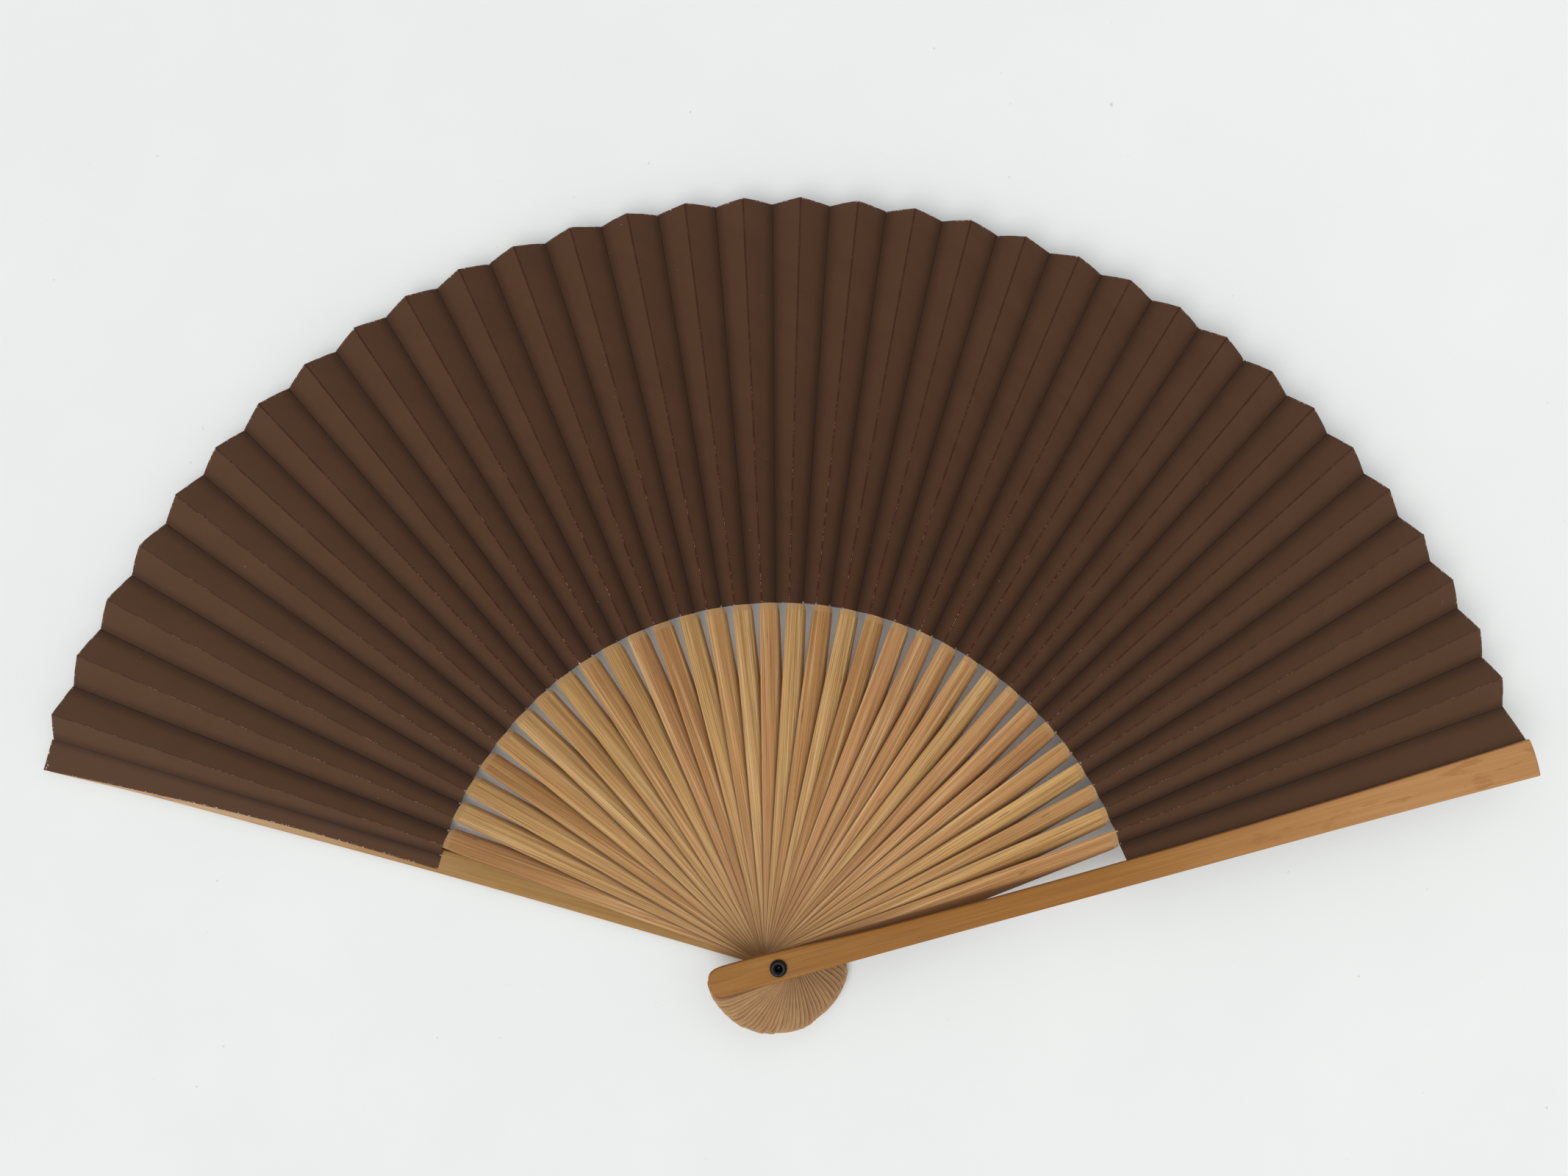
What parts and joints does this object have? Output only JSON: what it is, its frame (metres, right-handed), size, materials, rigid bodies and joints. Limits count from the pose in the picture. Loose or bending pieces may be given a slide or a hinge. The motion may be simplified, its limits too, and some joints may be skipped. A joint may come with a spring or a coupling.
{
  "type": "folding fan",
  "caption": "Folding hand fan with bamboo ribs and guards turning on one rivet and a pleated brown paper leaf, lying fully open; it folds shut into a slim bar.",
  "frame": {"origin": "on the rivet's axis, at the rear guard's flat outer face, which lies on the table", "axes": "+Z along the rivet from the rear guard to the front guard, +Y from the rivet to the middle of the open leaf, +X to the front guard's side"},
  "size_m": [0.406, 0.2282, 0.0159],
  "materials": {
    "rib_bamboo": "planed raw bamboo, fine lengthwise grain",
    "guard_bamboo": "smooth polished bamboo skin",
    "rivet_plastic": "glossy black",
    "leaf_paper": "matte dyed paper"
  },
  "bodies": {
    "rear_guard": {"rear_guard": "guard_bamboo", "rivet": "rivet_plastic"},
    "rib_01": {"rib_01": "rib_bamboo", "leaf_01": "leaf_paper"},
    "rib_02": {"rib_02": "rib_bamboo"},
    "rib_03": {"rib_03": "rib_bamboo", "leaf_02": "leaf_paper"},
    "rib_04": {"rib_04": "rib_bamboo"},
    "rib_05": {"rib_05": "rib_bamboo", "leaf_03": "leaf_paper"},
    "rib_06": {"rib_06": "rib_bamboo"},
    "rib_07": {"rib_07": "rib_bamboo", "leaf_04": "leaf_paper"},
    "rib_08": {"rib_08": "rib_bamboo"},
    "rib_09": {"rib_09": "rib_bamboo", "leaf_05": "leaf_paper"},
    "rib_10": {"rib_10": "rib_bamboo"},
    "rib_11": {"rib_11": "rib_bamboo", "leaf_06": "leaf_paper"},
    "rib_12": {"rib_12": "rib_bamboo"},
    "rib_13": {"rib_13": "rib_bamboo", "leaf_07": "leaf_paper"},
    "rib_14": {"rib_14": "rib_bamboo"},
    "rib_15": {"rib_15": "rib_bamboo", "leaf_08": "leaf_paper"},
    "rib_16": {"rib_16": "rib_bamboo"},
    "rib_17": {"rib_17": "rib_bamboo", "leaf_09": "leaf_paper"},
    "rib_18": {"rib_18": "rib_bamboo"},
    "rib_19": {"rib_19": "rib_bamboo", "leaf_10": "leaf_paper"},
    "rib_20": {"rib_20": "rib_bamboo"},
    "rib_21": {"rib_21": "rib_bamboo", "leaf_11": "leaf_paper"},
    "rib_22": {"rib_22": "rib_bamboo"},
    "rib_23": {"rib_23": "rib_bamboo", "leaf_12": "leaf_paper"},
    "rib_24": {"rib_24": "rib_bamboo"},
    "rib_25": {"rib_25": "rib_bamboo", "leaf_13": "leaf_paper"},
    "rib_26": {"rib_26": "rib_bamboo"},
    "rib_27": {"rib_27": "rib_bamboo", "leaf_14": "leaf_paper"},
    "rib_28": {"rib_28": "rib_bamboo"},
    "rib_29": {"rib_29": "rib_bamboo", "leaf_15": "leaf_paper"},
    "rib_30": {"rib_30": "rib_bamboo"},
    "rib_31": {"rib_31": "rib_bamboo", "leaf_16": "leaf_paper"},
    "rib_32": {"rib_32": "rib_bamboo"},
    "rib_33": {"rib_33": "rib_bamboo", "leaf_17": "leaf_paper"},
    "front_guard": {"front_guard": "guard_bamboo", "leaf_end": "leaf_paper"}
  },
  "joints": [
    {"name": "turn_01", "type": "hinge", "parent": "rear_guard", "child": "rib_01", "pos_m": [0, 0, 0], "axis": [0, 0, 1], "range_deg": [0, 4.33], "deforming": ["leaf_01"]},
    {"name": "turn_02", "type": "hinge", "parent": "rib_01", "child": "rib_02", "pos_m": [0, 0, 0], "axis": [0, 0, 1], "range_deg": [0, 4.76]},
    {"name": "turn_03", "type": "hinge", "parent": "rib_02", "child": "rib_03", "pos_m": [0, 0, 0], "axis": [0, 0, 1], "range_deg": [0, 4.74], "deforming": ["leaf_02"]},
    {"name": "turn_04", "type": "hinge", "parent": "rib_03", "child": "rib_04", "pos_m": [0, 0, 0], "axis": [0, 0, 1], "range_deg": [0, 4.71]},
    {"name": "turn_05", "type": "hinge", "parent": "rib_04", "child": "rib_05", "pos_m": [0, 0, 0], "axis": [0, 0, 1], "range_deg": [0, 4.69], "deforming": ["leaf_03"]},
    {"name": "turn_06", "type": "hinge", "parent": "rib_05", "child": "rib_06", "pos_m": [0, 0, 0], "axis": [0, 0, 1], "range_deg": [0, 4.66]},
    {"name": "turn_07", "type": "hinge", "parent": "rib_06", "child": "rib_07", "pos_m": [0, 0, 0], "axis": [0, 0, 1], "range_deg": [0, 4.64], "deforming": ["leaf_04"]},
    {"name": "turn_08", "type": "hinge", "parent": "rib_07", "child": "rib_08", "pos_m": [0, 0, 0], "axis": [0, 0, 1], "range_deg": [0, 4.61]},
    {"name": "turn_09", "type": "hinge", "parent": "rib_08", "child": "rib_09", "pos_m": [0, 0, 0], "axis": [0, 0, 1], "range_deg": [0, 4.59], "deforming": ["leaf_05"]},
    {"name": "turn_10", "type": "hinge", "parent": "rib_09", "child": "rib_10", "pos_m": [0, 0, 0], "axis": [0, 0, 1], "range_deg": [0, 4.56]},
    {"name": "turn_11", "type": "hinge", "parent": "rib_10", "child": "rib_11", "pos_m": [0, 0, 0], "axis": [0, 0, 1], "range_deg": [0, 4.54], "deforming": ["leaf_06"]},
    {"name": "turn_12", "type": "hinge", "parent": "rib_11", "child": "rib_12", "pos_m": [0, 0, 0], "axis": [0, 0, 1], "range_deg": [0, 4.51]},
    {"name": "turn_13", "type": "hinge", "parent": "rib_12", "child": "rib_13", "pos_m": [0, 0, 0], "axis": [0, 0, 1], "range_deg": [0, 4.49], "deforming": ["leaf_07"]},
    {"name": "turn_14", "type": "hinge", "parent": "rib_13", "child": "rib_14", "pos_m": [0, 0, 0], "axis": [0, 0, 1], "range_deg": [0, 4.46]},
    {"name": "turn_15", "type": "hinge", "parent": "rib_14", "child": "rib_15", "pos_m": [0, 0, 0], "axis": [0, 0, 1], "range_deg": [0, 4.44], "deforming": ["leaf_08"]},
    {"name": "turn_16", "type": "hinge", "parent": "rib_15", "child": "rib_16", "pos_m": [0, 0, 0], "axis": [0, 0, 1], "range_deg": [0, 4.41]},
    {"name": "turn_17", "type": "hinge", "parent": "rib_16", "child": "rib_17", "pos_m": [0, 0, 0], "axis": [0, 0, 1], "range_deg": [0, 4.39], "deforming": ["leaf_09"]},
    {"name": "turn_18", "type": "hinge", "parent": "rib_17", "child": "rib_18", "pos_m": [0, 0, 0], "axis": [0, 0, 1], "range_deg": [0, 4.36]},
    {"name": "turn_19", "type": "hinge", "parent": "rib_18", "child": "rib_19", "pos_m": [0, 0, 0], "axis": [0, 0, 1], "range_deg": [0, 4.34], "deforming": ["leaf_10"]},
    {"name": "turn_20", "type": "hinge", "parent": "rib_19", "child": "rib_20", "pos_m": [0, 0, 0], "axis": [0, 0, 1], "range_deg": [0, 4.31]},
    {"name": "turn_21", "type": "hinge", "parent": "rib_20", "child": "rib_21", "pos_m": [0, 0, 0], "axis": [0, 0, 1], "range_deg": [0, 4.29], "deforming": ["leaf_11"]},
    {"name": "turn_22", "type": "hinge", "parent": "rib_21", "child": "rib_22", "pos_m": [0, 0, 0], "axis": [0, 0, 1], "range_deg": [0, 4.26]},
    {"name": "turn_23", "type": "hinge", "parent": "rib_22", "child": "rib_23", "pos_m": [0, 0, 0], "axis": [0, 0, 1], "range_deg": [0, 4.24], "deforming": ["leaf_12"]},
    {"name": "turn_24", "type": "hinge", "parent": "rib_23", "child": "rib_24", "pos_m": [0, 0, 0], "axis": [0, 0, 1], "range_deg": [0, 4.21]},
    {"name": "turn_25", "type": "hinge", "parent": "rib_24", "child": "rib_25", "pos_m": [0, 0, 0], "axis": [0, 0, 1], "range_deg": [0, 4.19], "deforming": ["leaf_13"]},
    {"name": "turn_26", "type": "hinge", "parent": "rib_25", "child": "rib_26", "pos_m": [0, 0, 0], "axis": [0, 0, 1], "range_deg": [0, 4.16]},
    {"name": "turn_27", "type": "hinge", "parent": "rib_26", "child": "rib_27", "pos_m": [0, 0, 0], "axis": [0, 0, 1], "range_deg": [0, 4.14], "deforming": ["leaf_14"]},
    {"name": "turn_28", "type": "hinge", "parent": "rib_27", "child": "rib_28", "pos_m": [0, 0, 0], "axis": [0, 0, 1], "range_deg": [0, 4.11]},
    {"name": "turn_29", "type": "hinge", "parent": "rib_28", "child": "rib_29", "pos_m": [0, 0, 0], "axis": [0, 0, 1], "range_deg": [0, 4.09], "deforming": ["leaf_15"]},
    {"name": "turn_30", "type": "hinge", "parent": "rib_29", "child": "rib_30", "pos_m": [0, 0, 0], "axis": [0, 0, 1], "range_deg": [0, 4.06]},
    {"name": "turn_31", "type": "hinge", "parent": "rib_30", "child": "rib_31", "pos_m": [0, 0, 0], "axis": [0, 0, 1], "range_deg": [0, 4.04], "deforming": ["leaf_16"]},
    {"name": "turn_32", "type": "hinge", "parent": "rib_31", "child": "rib_32", "pos_m": [0, 0, 0], "axis": [0, 0, 1], "range_deg": [0, 4.01]},
    {"name": "turn_33", "type": "hinge", "parent": "rib_32", "child": "rib_33", "pos_m": [0, 0, 0], "axis": [0, 0, 1], "range_deg": [0, 3.99], "deforming": ["leaf_17"]},
    {"name": "turn_34", "type": "hinge", "parent": "rib_33", "child": "front_guard", "pos_m": [0, 0, 0], "axis": [0, 0, 1], "range_deg": [0, 4.87], "deforming": ["leaf_end"]}
  ],
  "couplings": [
    {"joint": "turn_02", "follows": "turn_01", "ratio": 1.0999},
    {"joint": "turn_03", "follows": "turn_01", "ratio": 1.0941},
    {"joint": "turn_04", "follows": "turn_01", "ratio": 1.0883},
    {"joint": "turn_05", "follows": "turn_01", "ratio": 1.0826},
    {"joint": "turn_06", "follows": "turn_01", "ratio": 1.0768},
    {"joint": "turn_07", "follows": "turn_01", "ratio": 1.071},
    {"joint": "turn_08", "follows": "turn_01", "ratio": 1.0652},
    {"joint": "turn_09", "follows": "turn_01", "ratio": 1.0595},
    {"joint": "turn_10", "follows": "turn_01", "ratio": 1.0537},
    {"joint": "turn_11", "follows": "turn_01", "ratio": 1.0479},
    {"joint": "turn_12", "follows": "turn_01", "ratio": 1.0421},
    {"joint": "turn_13", "follows": "turn_01", "ratio": 1.0364},
    {"joint": "turn_14", "follows": "turn_01", "ratio": 1.0306},
    {"joint": "turn_15", "follows": "turn_01", "ratio": 1.0248},
    {"joint": "turn_16", "follows": "turn_01", "ratio": 1.0191},
    {"joint": "turn_17", "follows": "turn_01", "ratio": 1.0133},
    {"joint": "turn_18", "follows": "turn_01", "ratio": 1.0075},
    {"joint": "turn_19", "follows": "turn_01", "ratio": 1.0017},
    {"joint": "turn_20", "follows": "turn_01", "ratio": 0.99596},
    {"joint": "turn_21", "follows": "turn_01", "ratio": 0.99018},
    {"joint": "turn_22", "follows": "turn_01", "ratio": 0.98441},
    {"joint": "turn_23", "follows": "turn_01", "ratio": 0.97864},
    {"joint": "turn_24", "follows": "turn_01", "ratio": 0.97286},
    {"joint": "turn_25", "follows": "turn_01", "ratio": 0.96709},
    {"joint": "turn_26", "follows": "turn_01", "ratio": 0.96132},
    {"joint": "turn_27", "follows": "turn_01", "ratio": 0.95554},
    {"joint": "turn_28", "follows": "turn_01", "ratio": 0.94977},
    {"joint": "turn_29", "follows": "turn_01", "ratio": 0.944},
    {"joint": "turn_30", "follows": "turn_01", "ratio": 0.93822},
    {"joint": "turn_31", "follows": "turn_01", "ratio": 0.93245},
    {"joint": "turn_32", "follows": "turn_01", "ratio": 0.92667},
    {"joint": "turn_33", "follows": "turn_01", "ratio": 0.9209},
    {"joint": "turn_34", "follows": "turn_01", "ratio": 1.1247}
  ]
}
